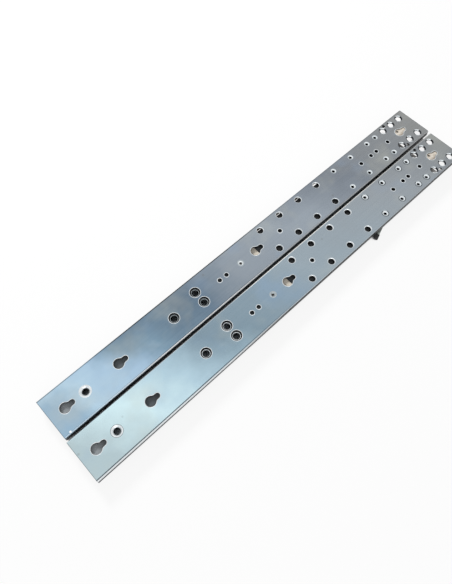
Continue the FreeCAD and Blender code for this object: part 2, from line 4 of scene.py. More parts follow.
import bmesh
import bpy
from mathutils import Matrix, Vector


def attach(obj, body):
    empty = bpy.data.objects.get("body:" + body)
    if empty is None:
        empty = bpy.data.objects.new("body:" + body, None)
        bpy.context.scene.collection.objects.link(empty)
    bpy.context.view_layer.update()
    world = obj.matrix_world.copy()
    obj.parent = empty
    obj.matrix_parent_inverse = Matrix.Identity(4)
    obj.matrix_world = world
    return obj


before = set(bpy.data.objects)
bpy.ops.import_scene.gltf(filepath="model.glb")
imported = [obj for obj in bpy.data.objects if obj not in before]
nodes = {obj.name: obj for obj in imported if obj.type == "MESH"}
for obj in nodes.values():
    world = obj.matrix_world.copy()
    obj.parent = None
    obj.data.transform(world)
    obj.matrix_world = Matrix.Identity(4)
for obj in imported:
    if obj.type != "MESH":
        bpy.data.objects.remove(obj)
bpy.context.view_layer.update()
scene = bpy.context.scene
scene.view_settings.view_transform = "Standard"

MM = 0.001
SIDES = ("left", "right")
OUTWARD = {"left": -1, "right": 1}

# Sizes and places of the rails in mm, as in the solids; places run back from the front end
RAIL_LENGTH = 535.0
TOP = 13.4
FRONT_X = {"left": 267.0, "right": 268.0}
MIDDLE_Y = {"left": -26.8681, "right": 21.7319}
KEYHOLES = (16.4, 78.5, 261.6, 506.5)
KEYHOLE_RADIUS = 5.3
SLOT_HALF = 2.8
KEYHOLE_REACH = 10.6
KEYHOLE_NECK_ROUND = 4.0
COUNTERSINK_PLACE = 39.2
ACCESS = ((147.7, 0.0), (181.8, -6.95), (181.8, 6.95))
SMALL = (209.9, 219.3, 435.5, 453.3, 462.9, 484.3)
LONE_PLACE = 299.0
NUB_PLACE = 239.9
ROW_HALF = 14.8
ROW_PLAIN = (283.2, 313.2, 343.2, 373.2)
ROW_TAPPED = (403.2, 433.2, 463.2, 478.2)
ROW_REAR = (493.2, 508.2, 523.2)
MIDDLE_TOP = 10.1
MIDDLE_HOLE = 3.7

# Limits of the zones of an outer member's material, in mm
FACE_UNDER = 12.1
FLANK_TOP = {"left": 12.0, "right": 12.5}
FLANK_SPAN = (3, 13)
BEND_START = 21.2
INSIDE_HALF = 21.4

# Spots in the materials, in mm: place and distance across, height, radii of the full and the faded part.
# The left rail's is a near-white spot on the bend near its front corner; the rear bumper's is painted shade
WHITE_SPOT_PLACE = (7.4, 20.9)
WHITE_SPOT_RADII = (0.8, 1.3)
BUMPER_SHADE_SPOT = (505.8, -2.5)
BUMPER_SHADE_SPOT_RADII = (1.0, 1.8)
BOSS_TOP = 12.7

# Rims of the holes, in mm: radius at the throat and at the face, depth of the cone, width of the lip, tone
# of the cone's foot, of its upper part and of the lip, and directions in which the rim carries painted
# shade. The tones are a polished rim brightened by a painted highlight, a middle tone, and painted shade,
# set apart for each rail
BRIGHT, SOFT, SHADED = range(3)
Rim = namedtuple("Rim", "throat face depth lip foot upper edge dull_ways", defaults=((),))
ACCESS_RIM = Rim(5.6, 5.6, 0.0, 0.6, BRIGHT, BRIGHT, BRIGHT)
SMALL_RIM = Rim(2.35, 2.35, 0.0, 0.7, BRIGHT, BRIGHT, BRIGHT)
LONE_RIM = Rim(2.35, 2.35, 0.0, 0.9, BRIGHT, BRIGHT, BRIGHT)
PLAIN_RIM = {"left": Rim(3.5, 4.1, 0.7, 0.25, BRIGHT, BRIGHT, BRIGHT),
             "right": Rim(3.3, 4.1, 0.8, 0.25, BRIGHT, BRIGHT, BRIGHT)}
REAR_RIM = Rim(3.5, 4.1, 0.7, 0.7, BRIGHT, BRIGHT, BRIGHT, (43, 223))
NUB_RIM = {"left": Rim(1.3, 3.6, 0.65, 0.25, BRIGHT, SOFT, SOFT),
           "right": Rim(1.3, 3.6, 0.65, 0.25, SOFT, SOFT, SOFT)}
COUNTERSINK_RIM = {"left": Rim(3.2, 5.7, 1.3, 0.5, BRIGHT, BRIGHT, BRIGHT),
                   "right": Rim(3.2, 5.7, 1.3, 0.3, BRIGHT, BRIGHT, SHADED)}
TAPPED_RIM = {"left": Rim(1.65, 3.05, 0.65, 0.35, BRIGHT, BRIGHT, SOFT),
              "right": Rim(1.65, 3.05, 0.65, 0.5, BRIGHT, BRIGHT, SOFT)}
HALO_RIM = Rim(3.6, 3.6, 0.0, 0.6, SOFT, SOFT, SOFT, (43, 133, 223))
SHADE_SPAN = 50
CONE_SPLIT = 0.62
KEYHOLE_LIP = 0.6
LIP_CROWN = 0.05
LIP_CREST_SHARE = 0.45
LIP_ROOT = 0.15
COVER = 0.02
ARC_STEPS = 32

# Collars round the driver holes of the middle web, in mm: out from the hole's edge and up from the web;
# their rim tone is lighter on the right rail as a painted highlight
MIDDLE_COLLAR_TONES = {"left": SOFT, "right": BRIGHT}
MIDDLE_COLLAR = ((0.0, -0.15), (0.0, 1.3), (0.3, 1.45), (0.7, 1.3), (0.8, 0.0), (0.8, -0.15))

# Tones along a rail: share of its length from the front, and screen colour there; the outer members' tones
# paint the fall of reflected light along the rail as well as the zinc's tint
LEFT_TONES = ((0.0, "98B6CC"), (0.05, "B6D2E4"), (0.1, "ACC8DE"), (0.19, "7C98AC"), (0.3, "64788A"),
              (0.44, "909AA4"), (0.57, "98A2AC"), (0.74, "7C848E"), (1.0, "8E9090"))
RIGHT_TONES = ((0.0, "B4C8CE"), (0.12, "D4EEF4"), (0.22, "B4D0DE"), (0.365, "8197A5"), (0.55, "99A8B2"),
               (0.8, "969DA3"), (1.0, "82868A"))
# Tones of the middle member: lighter at its front, darker further back as painted shade under the outer
# member
MIDDLE_SHADE_TONES = ((0.024, "B2B8BC"), (0.05, "6C7275"), (0.13, "686E72"), (0.17, "54595D"),
                (0.46, "54595D"), (0.49, "34383C"))
# Tones of the line on the right rail's bend by the gap: painted highlight and painted shade along the rail
GAP_LINE_TONES = ((0.0, "CCDEE4"), (0.1, "CCDEE4"), (0.16, "B0B6BA"), (0.38, "B0B6BA"), (0.44, "F6F4EE"),
                  (0.72, "D8D6D0"), (0.92, "A2A4A2"))

# Tones up the flank, over FLANK_SPAN: a painted dark band of shade at the foot and a painted light band of
# reflection above it
FLANK_TONES = ((0.3, "34383C"), (0.64, "3C4044"), (0.7, "DCE0E2"), (1.0, "E6E9EA"))

# Tone of the zinc, which paints reflected light as well as the tint: how far it leans across the rail and
# how far the clouds push it along
TONE_SLANT = 0.9
TONE_WANDER = 0.05
ZINC_METALLIC = 0.86
ZINC_ROUGHNESS = (0.3, 0.42)
NOISE_SPAN = (0.3, 0.7)
BLOTCH_SPAN = (0.32, 0.7)

# Cloudy patches: place in the noise, its scale, span of it that shows, strongest share and tone
Patch = namedtuple("Patch", "x z scale span most tone")
PATCHES = (Patch(0, 2, 21, (0.52, 0.75), 0.3, "C2C3B6"),
           Patch(3, 5, 17, (0.55, 0.78), 0.35, "8EABCB"))

# Rolling lines and specks of the zinc
ROLLING_STRETCH = (5, 260, 60)
ROLLING_SPAN = (0.35, 0.7)
ROLLING_SHARE = 0.03
ROLLING_TONE = "E4EBF0"
SPECK_SCALE = 38
SPECK_SIZE = 0.075
SPECK_SHARE = 0.25
SPECK_TONE = "6C6A62"

# Lines along the bends, painted highlights where light and painted shade where dark: limits across in mm,
# fades along the rail and tone. A fade gives two shares of the rail's length and the strength at each
Line = namedtuple("Line", "limits fades tone")
BEND_SHADE_TONE = "3C4248"
LEFT_RISE = (0.08, 0.24, 0.25, 1)
BEND_LINES = {"left": (Line((21.0, 21.6), (LEFT_RISE, (0.4, 0.5, 0.6, 0)), BEND_SHADE_TONE),
                       Line((21.6, 22.7), (LEFT_RISE, (0.4, 0.5, 1, 0.4)), "F6F8F9")),
              "right": (Line((22.0, 22.9), ((0.3, 0.7, 0.75, 0.25),), "F1F5F7"),
                        Line((21.0, 22.0), ((0.25, 0.5, 0.85, 0),), BEND_SHADE_TONE))}
LEFT_OUTER_LINE = Line((-20.9, -21.2), ((0.1, 0.2, 0.6, 1), (0.45, 0.6, 1, 0.4)), "242A30")
LEFT_OUTER_STRENGTH = 0.95
GAP_LINE_LIMITS = (-21.4, -21.7)
GAP_LINE_STRENGTH = 0.85
BEND_DULLING = (0.1, 0.6, 0.2, 0.75)
WHITE_SPOT_TONE = "FAFCFC"

# Sheared ends, flanks and inside of an outer member; shares as above, the ends' from the rail's middle. The
# flanks darken towards the rear, and on the side of the gap, as painted shade; the inside and the hole
# walls are painted dark as shade, the walls partly as cut steel
END_SPAN = (0.4988, 0.4994)
END_STRENGTH = 0.6
END_TONE = "4A5056"
FLANK_DARKENS = (0.3, 0.45)
FLANK_REAR_SHADE_TONE = "1E2124"
GAP_FLANK_DARKENS = (0.75, 0.9)
GAP_FLANK_SHADE_TONES = ("565C60", "1C1E20")
STEEP_NORMAL = 0.75
INSIDE_SHADE_TONE = "34373A"

# Painted shade on the middle member's shoulders, in mm across, and painted shade on the rear bumper: along
# one edge of its boss and in a spot near its front
SHOULDER_SHADE_LIMITS = (9, 12)
SHOULDER_SHADE_FADE = (0.46, 0.5, 0.5, 1)
GREASE_AND_SHADE_TONE = "26282A"
BUMPER_SHADE_LIMITS = (1.0, 4.0)
BUMPER_SHADE_STRENGTH = 0.9
BUMPER_SHADE_TONE = "9C9286"
BUMPER_SHADE_SPOT_TONE = "2A2724"

# Scales of the noises, and roughness at both ends of a noise or how far it swings about a mean
CLOUD_SCALE = 13
OIL_SCALE = 60
OIL_BLOTCH_SHARE = 0.1
OIL_METALLIC = 0.2
OIL_ROUGHNESS = (0.58, 0.7)
METAL_SWING = (-0.06, 0.08)
FLOW_STRETCH = (1, 2.5, 1)
FLOW_SPAN = (0.35, 0.7)
FLOW_SWING = (-0.05, 0.07)
SPECK_CORE = 0.6

# Fine relief of the surfaces: stretch of the grain, strength, and depth in metres
ZINC_STRETCH = (40, 300, 300)
ZINC_GRAIN = 0.035
BRUSH_STRETCH = (60, 400, 400)
BRUSH_GRAIN = 0.06
GRAIN_DEPTH = 0.0002
SKIN_SCALE = 1800
SKIN_GRAIN = 0.12
SKIN_DEPTH = 0.0001


# Shader building

class Shader:
    """A node material whose Principled surface is built up by small calls."""

    def __init__(self, name):
        self.material = bpy.data.materials.new(name)
        self.material.use_nodes = True
        self.tree = self.material.node_tree
        self.surface = self.tree.nodes["Principled BSDF"]
        self.place = self.tree.nodes.new("ShaderNodeTexCoord").outputs["Object"]

    def node(self, kind, **values):
        made = self.tree.nodes.new(kind)
        for key, value in values.items():
            setattr(made, key, value)
        return made

    def link(self, source, target):
        self.tree.links.new(source, target)

    def feed(self, socket, value):
        if hasattr(value, "links"):
            self.link(value, socket)
        else:
            socket.default_value = value

    def set(self, **values):
        for key, value in values.items():
            self.feed(self.surface.inputs[key.replace("_", " ")], value)

    def stretch(self, x, y, z, offset=(0, 0, 0)):
        mapping = self.node("ShaderNodeMapping")
        mapping.inputs["Scale"].default_value = (x, y, z)
        mapping.inputs["Location"].default_value = offset
        self.link(self.place, mapping.inputs["Vector"])
        return mapping.outputs["Vector"]

    def noise(self, vector, scale, detail=3.0, rough=0.55):
        made = self.node("ShaderNodeTexNoise")
        made.inputs["Scale"].default_value = scale
        made.inputs["Detail"].default_value = detail
        made.inputs["Roughness"].default_value = rough
        self.link(vector, made.inputs["Vector"])
        return made.outputs["Fac"]

    def specks(self, vector, scale, size):
        made = self.node("ShaderNodeTexVoronoi")
        made.inputs["Scale"].default_value = scale
        self.link(vector, made.inputs["Vector"])
        return self.ramp(made.outputs["Distance"], size * SPECK_CORE, size, 1, 0)

    def ramp(self, value, start, end, low=0.0, high=1.0):
        made = self.node("ShaderNodeMapRange")
        for key, number in (("From Min", start), ("From Max", end), ("To Min", low), ("To Max", high)):
            made.inputs[key].default_value = number
        self.link(value, made.inputs["Value"])
        return made.outputs["Result"]

    def within(self, value, low, high):
        """1 between two limits and 0 outside them."""
        above = self.math("GREATER_THAN", value, low)
        return self.math("MULTIPLY", above, self.math("LESS_THAN", value, high))

    def blob(self, centre, inner, outer):
        """1 near a point, falling to 0 between two distances from it."""
        away = self.node("ShaderNodeVectorMath", operation="DISTANCE")
        away.inputs[1].default_value = centre
        self.link(self.place, away.inputs[0])
        return self.ramp(away.outputs["Value"], inner, outer, 1, 0)

    def math(self, operation, a, b=0.0):
        made = self.node("ShaderNodeMath", operation=operation)
        self.feed(made.inputs[0], a)
        self.feed(made.inputs[1], b)
        return made.outputs["Value"]

    def mix(self, factor, a, b):
        made = self.node("ShaderNodeMix", data_type="RGBA")
        self.feed(made.inputs["Factor"], factor)
        self.feed(made.inputs[6], a)
        self.feed(made.inputs[7], b)
        return made.outputs[2]

    def along(self):
        split = self.node("ShaderNodeSeparateXYZ")
        self.link(self.place, split.inputs["Vector"])
        return split.outputs

    def colours(self, value, stops):
        """Colour that changes with a value; a stop is a place and a screen colour."""
        made = self.node("ShaderNodeValToRGB")
        ramp = made.color_ramp
        while len(ramp.elements) < len(stops):
            ramp.elements.new(0.5)
        for element, (place, text) in zip(ramp.elements, stops):
            element.position = place
            element.color = tone(text)
        self.link(value, made.inputs["Fac"])
        return made.outputs["Color"]

    def bump(self, height, strength, distance):
        made = self.node("ShaderNodeBump")
        made.inputs["Strength"].default_value = strength
        made.inputs["Distance"].default_value = distance
        self.link(height, made.inputs["Height"])
        self.link(made.outputs["Normal"], self.surface.inputs["Normal"])

    def brushed(self):
        """Fine grain along the part."""
        self.bump(self.noise(self.stretch(*BRUSH_STRETCH), 6, 2), BRUSH_GRAIN, GRAIN_DEPTH)


def tone(text):
    """Linear colour of a screen colour such as A9C3DC."""
    out = []
    for start in (0, 2, 4):
        value = int(text[start:start + 2], 16) / 255
        out.append(value / 12.92 if value <= 0.04045 else ((value + 0.055) / 1.055) ** 2.4)
    return (*out, 1.0)


Axes = namedtuple("Axes", "share across z")


def in_metres(limits):
    return [limit * MM for limit in limits]


def spot_at(side, place, y, z):
    """Point in metres from a place back along a rail, a distance across it and a height."""
    return ((FRONT_X[side] - place) * MM, (MIDDLE_Y[side] + y) * MM, z * MM)


def rail_axes(shader, side):
    """Share of the rail's length from its front end, distance across from its middle line, and height."""
    spot = shader.along()
    front = FRONT_X[side] * MM
    share = shader.ramp(spot["X"], front, front - RAIL_LENGTH * MM)
    return Axes(share, shader.math("SUBTRACT", spot["Y"], MIDDLE_Y[side] * MM), spot["Z"])


def zinc_tone_and_sheen(shader, axes, clouds, stops, seed):
    """Colour of the passivated face: a tone that drifts along and across, painting the fall of reflected
    light as well as the tint, with patches, lines and specks.
    """
    slant = shader.math("MULTIPLY", axes.across, -TONE_SLANT / (RAIL_LENGTH * MM))
    drift = shader.math("ADD", axes.share, shader.ramp(clouds, *NOISE_SPAN, -TONE_WANDER, TONE_WANDER))
    drift = shader.math("ADD", drift, slant)
    base = shader.colours(drift, stops)
    for patch in PATCHES:
        cloud = shader.noise(shader.stretch(1, 1, 1, (patch.x, seed, patch.z)), patch.scale)
        base = shader.mix(shader.ramp(cloud, *patch.span, 0, patch.most), base, tone(patch.tone))
    lines = shader.noise(shader.stretch(*ROLLING_STRETCH, (seed, 1, 0)), 3, 2)
    base = shader.mix(shader.ramp(lines, *ROLLING_SPAN, 0, ROLLING_SHARE), base, tone(ROLLING_TONE))
    marks = shader.specks(shader.stretch(1, 1, 1, (seed, 4, 1)), SPECK_SCALE, SPECK_SIZE)
    return shader.mix(shader.math("MULTIPLY", marks, SPECK_SHARE), base, tone(SPECK_TONE))


def faded(shader, share, factor, fades):
    """A factor that also changes along the rail."""
    for fade in fades:
        factor = shader.math("MULTIPLY", factor, shader.ramp(share, *fade))
    return factor


def bend_lines(shader, side, axes, base):
    """Painted shade line and painted highlight line on one bend of a web, and a painted line on its other
    bend: highlight and shade on the right rail's gap side, shade on the left rail's outer side; the left
    rail has a near-white spot too.
    """
    for line in BEND_LINES[side]:
        band = shader.within(axes.across, *in_metres(line.limits))
        base = shader.mix(faded(shader, axes.share, band, line.fades), base, tone(line.tone))
    if side == "right":
        edge = shader.ramp(axes.across, *in_metres(GAP_LINE_LIMITS), 0, GAP_LINE_STRENGTH)
        return shader.mix(edge, base, shader.colours(axes.share, GAP_LINE_TONES))
    edge = shader.ramp(axes.across, *in_metres(LEFT_OUTER_LINE.limits), 0, LEFT_OUTER_STRENGTH)
    edge = faded(shader, axes.share, edge, LEFT_OUTER_LINE.fades)
    base = shader.mix(edge, base, tone(LEFT_OUTER_LINE.tone))
    white_spot = shader.blob(spot_at(side, *WHITE_SPOT_PLACE, TOP), *in_metres(WHITE_SPOT_RADII))
    return shader.mix(white_spot, base, tone(WHITE_SPOT_TONE))


def flank_colour(shader, side, axes):
    """Flanks: painted bands of light and shade on the side that faces away from the pair, darkening to
    painted shade towards the rear; plain painted shade on the side of the gap, darker towards the rear.
    """
    painted_flank_bands = shader.colours(shader.ramp(axes.z, *in_metres(FLANK_SPAN)), FLANK_TONES)
    painted_flank_bands = shader.mix(shader.ramp(axes.share, *FLANK_DARKENS), painted_flank_bands, tone(FLANK_REAR_SHADE_TONE))
    facing_out = shader.math("GREATER_THAN", shader.math("MULTIPLY", axes.across, OUTWARD[side]), 0.0)
    front, rear = GAP_FLANK_SHADE_TONES
    inner = shader.mix(shader.ramp(axes.share, *GAP_FLANK_DARKENS), tone(front), tone(rear))
    return shader.mix(facing_out, inner, painted_flank_bands)


def zinc_edges(shader, side, axes, base):
    """Painted highlight and shade lines along the bends, darker ends, the flanks' painted light and shade,
    and painted shade on the inside and on the hole walls, which are partly dark as cut steel.
    """
    base = bend_lines(shader, side, axes, base)
    ends = shader.math("ABSOLUTE", shader.math("SUBTRACT", axes.share, 0.5))
    base = shader.mix(shader.ramp(ends, *END_SPAN, 0, END_STRENGTH), base, tone(END_TONE))
    on_flank = shader.math("LESS_THAN", axes.z, FLANK_TOP[side] * MM)
    base = shader.mix(on_flank, base, flank_colour(shader, side, axes))
    facing = shader.node("ShaderNodeSeparateXYZ")
    shader.link(shader.node("ShaderNodeNewGeometry").outputs["True Normal"], facing.inputs["Vector"])
    steep = shader.math("LESS_THAN", shader.math("ABSOLUTE", facing.outputs["Z"]), STEEP_NORMAL)
    low = shader.math("LESS_THAN", axes.z, FACE_UNDER * MM)
    # The inside and the steep hole walls take painted shade; the walls are partly dark as cut steel.
    hidden = shader.math("MULTIPLY", shader.math("MAXIMUM", low, steep),
                         shader.within(axes.across, -INSIDE_HALF * MM, INSIDE_HALF * MM))
    return shader.mix(hidden, base, tone(INSIDE_SHADE_TONE))


def zinc_web(side, stops, seed):
    """Blue-passivated zinc of one outer member, with painted reflected light, painted highlights and
    painted shade.
    """
    shader = Shader(side + "_zinc")
    axes = rail_axes(shader, side)
    clouds = shader.noise(shader.stretch(1, 1, 1, (seed, 0, 0)), CLOUD_SCALE, 4, 0.6)
    base = zinc_tone_and_sheen(shader, axes, clouds, stops, seed)
    shader.set(Base_Color=zinc_edges(shader, side, axes, base))
    outward = shader.math("MULTIPLY", axes.across, OUTWARD[side])
    gap_bend = shader.math("LESS_THAN", outward, -BEND_START * MM)
    dulling = faded(shader, axes.share, gap_bend, (BEND_DULLING,))
    shader.set(Metallic=shader.math("SUBTRACT", ZINC_METALLIC, dulling))
    shader.set(Roughness=shader.ramp(clouds, *NOISE_SPAN, *ZINC_ROUGHNESS))
    shader.bump(shader.noise(shader.stretch(*ZINC_STRETCH), 5, 3), ZINC_GRAIN, GRAIN_DEPTH)
    return shader.material


def worn_metal(name, light, dark, scale, rough, metallic=0.9):
    """Plain metal with blotches of a darker tone and a fine grain."""
    shader = Shader(name)
    blotch = shader.noise(shader.place, scale, 4)
    shader.set(Base_Color=shader.mix(shader.ramp(blotch, *BLOTCH_SPAN), tone(light), tone(dark)))
    smooth, coarse = [rough + swing for swing in METAL_SWING]
    shader.set(Roughness=shader.ramp(blotch, *NOISE_SPAN, smooth, coarse), Metallic=metallic)
    shader.brushed()
    return shader.material


def middle_zinc_with_shade(side):
    """Middle member: zinc with random grease blotches, darker back from its front and on its shoulders as
    painted shade, more so at the rear.
    """
    shader = Shader(side + "_middle_zinc_with_shade")
    axes = rail_axes(shader, side)
    blotch = shader.noise(shader.place, OIL_SCALE, 4)
    web = shader.colours(axes.share, MIDDLE_SHADE_TONES)
    web = shader.mix(shader.ramp(blotch, *BLOTCH_SPAN, 0, OIL_BLOTCH_SHARE), web, tone(GREASE_AND_SHADE_TONE))
    # The shoulders darken as painted shade.
    shoulder = shader.ramp(shader.math("ABSOLUTE", axes.across), *in_metres(SHOULDER_SHADE_LIMITS))
    shoulder_shade = faded(shader, axes.share, shoulder, (SHOULDER_SHADE_FADE,))
    shader.set(Base_Color=shader.mix(shoulder_shade, web, tone(GREASE_AND_SHADE_TONE)), Metallic=OIL_METALLIC)
    shader.set(Roughness=shader.ramp(blotch, *NOISE_SPAN, *OIL_ROUGHNESS))
    shader.brushed()
    return shader.material


def bumper_shade(shader, side, base):
    """Painted shade, brownish, along one edge of the boss in the rear keyhole, and a painted dark spot of
    shade near its front.
    """
    across = rail_axes(shader, side).across
    edge_shade = shader.ramp(across, *in_metres(BUMPER_SHADE_LIMITS), 0, BUMPER_SHADE_STRENGTH)
    base = shader.mix(edge_shade, base, tone(BUMPER_SHADE_TONE))
    shade_spot = shader.blob(spot_at(side, *BUMPER_SHADE_SPOT, BOSS_TOP), *in_metres(BUMPER_SHADE_SPOT_RADII))
    return shader.mix(shade_spot, base, tone(BUMPER_SHADE_SPOT_TONE))


def moulded(name, light, dark, scale, rough, bumper_side=None):
    """Moulded plastic with faint flow marks and a fine skin; a rear bumper gets its painted shade too."""
    shader = Shader(name)
    flow = shader.noise(shader.stretch(*FLOW_STRETCH), scale, 4)
    base = shader.mix(shader.ramp(flow, *FLOW_SPAN), tone(light), tone(dark))
    if bumper_side:
        base = bumper_shade(shader, bumper_side, base)
    shader.set(Base_Color=base)
    smooth, coarse = [rough + swing for swing in FLOW_SWING]
    shader.set(Roughness=shader.ramp(flow, *NOISE_SPAN, smooth, coarse))
    shader.bump(shader.noise(shader.place, SKIN_SCALE, 2), SKIN_GRAIN, SKIN_DEPTH)
    return shader.material


# Materials of the nodes: light and dark tone, scale of the blotches, roughness

WEBS = {"left": zinc_web("left", LEFT_TONES, 2.0),
        "right": zinc_web("right", RIGHT_TONES, 7.0)}
# Rim tones: near-white as a painted highlight on a polished rim, a middle tone, and dark as painted shade
RIMS = (worn_metal("bright_rim", "EEF2F4", "CDD5DA", 160, 0.3),
        worn_metal("soft_rim", "B9C2C6", "9FA8AD", 160, 0.4),
        worn_metal("shade_rim", "34393E", "24282C", 160, 0.45))
MIDDLES = {side: middle_zinc_with_shade(side) for side in SIDES}
INNER_ZINC = worn_metal("inner_zinc", "9AA4AC", "7E868C", 45, 0.4)
NYLON = moulded("cream_nylon", "EAE4D8", "D6CDBD", 90, 0.5)
BUMPERS = {side: moulded(side + "_warm_nylon", "E2DACE", "BEB3A3", 260, 0.5, side) for side in SIDES}
CAGE = moulded("cage_nylon", "D8D0C0", "B9B0A0", 120, 0.5)
BALL = worn_metal("ball_steel", "D6D9DC", "B9BDC2", 300, 0.14, 1.0)
LEVER = worn_metal("lever_steel", "B4BCB6", "939C96", 120, 0.38)
RIVET = worn_metal("rivet_steel", "AEB2B6", "8A8E92", 200, 0.34)
SPRING = worn_metal("spring_steel", "6A6B6D", "4C4D50", 300, 0.36)
SLEEVE = moulded("black_sleeve", "2A2B2C", "17181A", 200, 0.48)

FINISH = {"outer_member": WEBS, "middle_member": MIDDLES, "inner_member": INNER_ZINC,
          "rear_bumper": BUMPERS, "stop_block": NYLON, "inner_bumper": NYLON,
          "outer_cage_upper": CAGE, "outer_cage_lower": CAGE,
          "inner_cage_upper": CAGE, "inner_cage_lower": CAGE,
          "outer_balls": BALL, "inner_balls": BALL, "release_lever": LEVER,
          "lever_tip": SLEEVE, "lever_pivot": RIVET, "lever_spring": SPRING}
for node_name, obj in nodes.items():
    side, piece = node_name.split("_", 1)
    obj.data.materials.clear()
    finish_and_sheen = FINISH[piece]
    obj.data.materials.append(finish_and_sheen[side] if isinstance(finish_and_sheen, dict) else finish_and_sheen)


# Rims that the punch and the countersink left round the holes, brightened by a painted highlight, with
# painted shade in some directions

def circle_loop(side, place, y, radius, z):
    angles = [2 * math.pi * step / ARC_STEPS for step in range(ARC_STEPS)]
    return [spot_at(side, place + radius * math.cos(a), y + radius * math.sin(a), z) for a in angles]


def arc(centre, radius, start, end, steps):
    """Points from one angle to another about a centre given back along the rail and across it."""
    angles = [start + (end - start) * step / (steps - 1) for step in range(steps)]
    return [(centre[0] + radius * math.cos(a), centre[1] + radius * math.sin(a)) for a in angles]


def keyhole_loop(side, place, grow, z):
    """Outline of a keyhole with a rounded neck, larger all round by a lip's width."""
    half = SLOT_HALF + KEYHOLE_NECK_ROUND
    back = math.sqrt((KEYHOLE_RADIUS + KEYHOLE_NECK_ROUND) ** 2 - half ** 2)
    lean = math.atan2(half, back)
    neck = KEYHOLE_NECK_ROUND - grow
    few = ARC_STEPS // 4
    quarter = math.pi / 2
    points = arc((0, 0), KEYHOLE_RADIUS + grow, lean, 2 * math.pi - lean, ARC_STEPS)
    points += arc((back, -half), neck, math.pi - lean, quarter, few)[1:]
    points += arc((KEYHOLE_REACH - SLOT_HALF, 0), SLOT_HALF + grow, -quarter, quarter, 2 * few)
    points += arc((back, half), neck, -quarter, lean - math.pi, few)[:-1]
    return [spot_at(side, place + point, y, z) for point, y in points]


def hole_list(side):
    """Every round hole of one web with a rim: place, distance from the middle line and rim."""
    holes = [(COUNTERSINK_PLACE, 0, COUNTERSINK_RIM[side]), (NUB_PLACE, 0, NUB_RIM[side]),
             (LONE_PLACE, 0, LONE_RIM)]
    holes += [(place, y, ACCESS_RIM) for place, y in ACCESS]
    holes += [(place, 0, SMALL_RIM) for place in SMALL]
    for row in (-ROW_HALF, ROW_HALF):
        holes += [(place, row, PLAIN_RIM[side]) for place in ROW_PLAIN]
        holes += [(place, row, TAPPED_RIM[side]) for place in ROW_TAPPED]
        if side == "right":
            holes += [(place, row, HALO_RIM) for place in ROW_TAPPED]
        holes += [(place, row, REAR_RIM) for place in ROW_REAR]
    return holes


def lip_section(width, finish_and_sheen):
    """Closed section of a lip: distance out from the hole's edge, height over the web, rim tone."""
    return [(0.0, -LIP_ROOT, finish_and_sheen), (0.0, COVER, finish_and_sheen), (width * LIP_CREST_SHARE, LIP_CROWN, finish_and_sheen),
            (width, 0.0, finish_and_sheen), (width, -LIP_ROOT, finish_and_sheen)]


def rim_section(rim):
    """Closed section of a round hole's rim: radius, height over the web, rim tone of the band from there.
    """
    section = [(rim.face + out, up, finish_and_sheen) for out, up, finish_and_sheen in lip_section(rim.lip, rim.edge)]
    if rim.depth:
        split = rim.throat + CONE_SPLIT * (rim.face - rim.throat)
        section[0] = (rim.throat, -rim.depth - LIP_ROOT, rim.foot)
        section[1:1] = [(rim.throat, COVER - rim.depth, rim.foot),
                        (split, COVER - rim.depth * (1 - CONE_SPLIT), rim.upper)]
    return section


def shade_steps(ways):
    """Steps round a circle that lie near one of the directions of painted shade, given in degrees."""
    turn = 360 / ARC_STEPS
    return {step for step in range(ARC_STEPS) for way in ways
            if abs(((step + 0.5) * turn - way + 180) % 360 - 180) < SHADE_SPAN}


def ring(form, loops, finishes, shaded_steps=()):
    """Closed ring from the loops of its section; steps listed as shaded get the painted shade tone."""
    rings = [[form.verts.new(point) for point in loop] for loop in loops]
    for inner, outer, finish_and_sheen in zip(rings, rings[1:] + rings[:1], finishes):
        for step in range(len(inner)):
            after = (step + 1) % len(inner)
            face = form.faces.new((inner[step], outer[step], outer[after], inner[after]))
            face.material_index = SHADED if step in shaded_steps else finish_and_sheen
            face.smooth = True


def rims_piece(form, name, body):
    """The rims of one web as an object that rides with its body."""
    bmesh.ops.recalc_face_normals(form, faces=form.faces)
    mesh = bpy.data.meshes.new(name)
    form.to_mesh(mesh)
    form.free()
    rims = bpy.data.objects.new(name, mesh)
    scene.collection.objects.link(rims)
    for material in RIMS:
        mesh.materials.append(material)
    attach(rims, body)


def web_rims(side):
    form = bmesh.new()
    for place, y, rim in hole_list(side):
        section = rim_section(rim)
        ring(form, [circle_loop(side, place, y, radius, TOP + up) for radius, up, finish_and_sheen in section],
             [finish_and_sheen for radius, up, finish_and_sheen in section], shade_steps(rim.dull_ways))
    lip = lip_section(KEYHOLE_LIP, BRIGHT)
    for place in KEYHOLES:
        ring(form, [keyhole_loop(side, place, out, TOP + up) for out, up, finish_and_sheen in lip],
             [finish_and_sheen for out, up, finish_and_sheen in lip])
    rims_piece(form, side + "_hole_rims", side + "_outer")


def middle_rims(side):
    form = bmesh.new()
    for place, y in ACCESS:
        loops = [circle_loop(side, place, y, MIDDLE_HOLE + out, MIDDLE_TOP + up)
                 for out, up in MIDDLE_COLLAR]
        ring(form, loops, [MIDDLE_COLLAR_TONES[side]] * len(loops))
    rims_piece(form, side + "_middle_rims", side + "_middle")


for side in SIDES:
    web_rims(side)
    middle_rims(side)


# Floor, light and camera, in metres, watts and degrees

FLOOR_HALF = 6.0
FLOOR_Z = -0.0002
FLOOR_GREY = 0.9
FLOOR_ROUGHNESS = 0.9
FLOOR_GLOW = 0.88

# Share of open sky over a spot of floor, looked for within a reach; over its span the floor turns white
SKY_REACH = 0.025
SKY_SAMPLES = 24
SKY_SPAN = (0.2, 0.45)

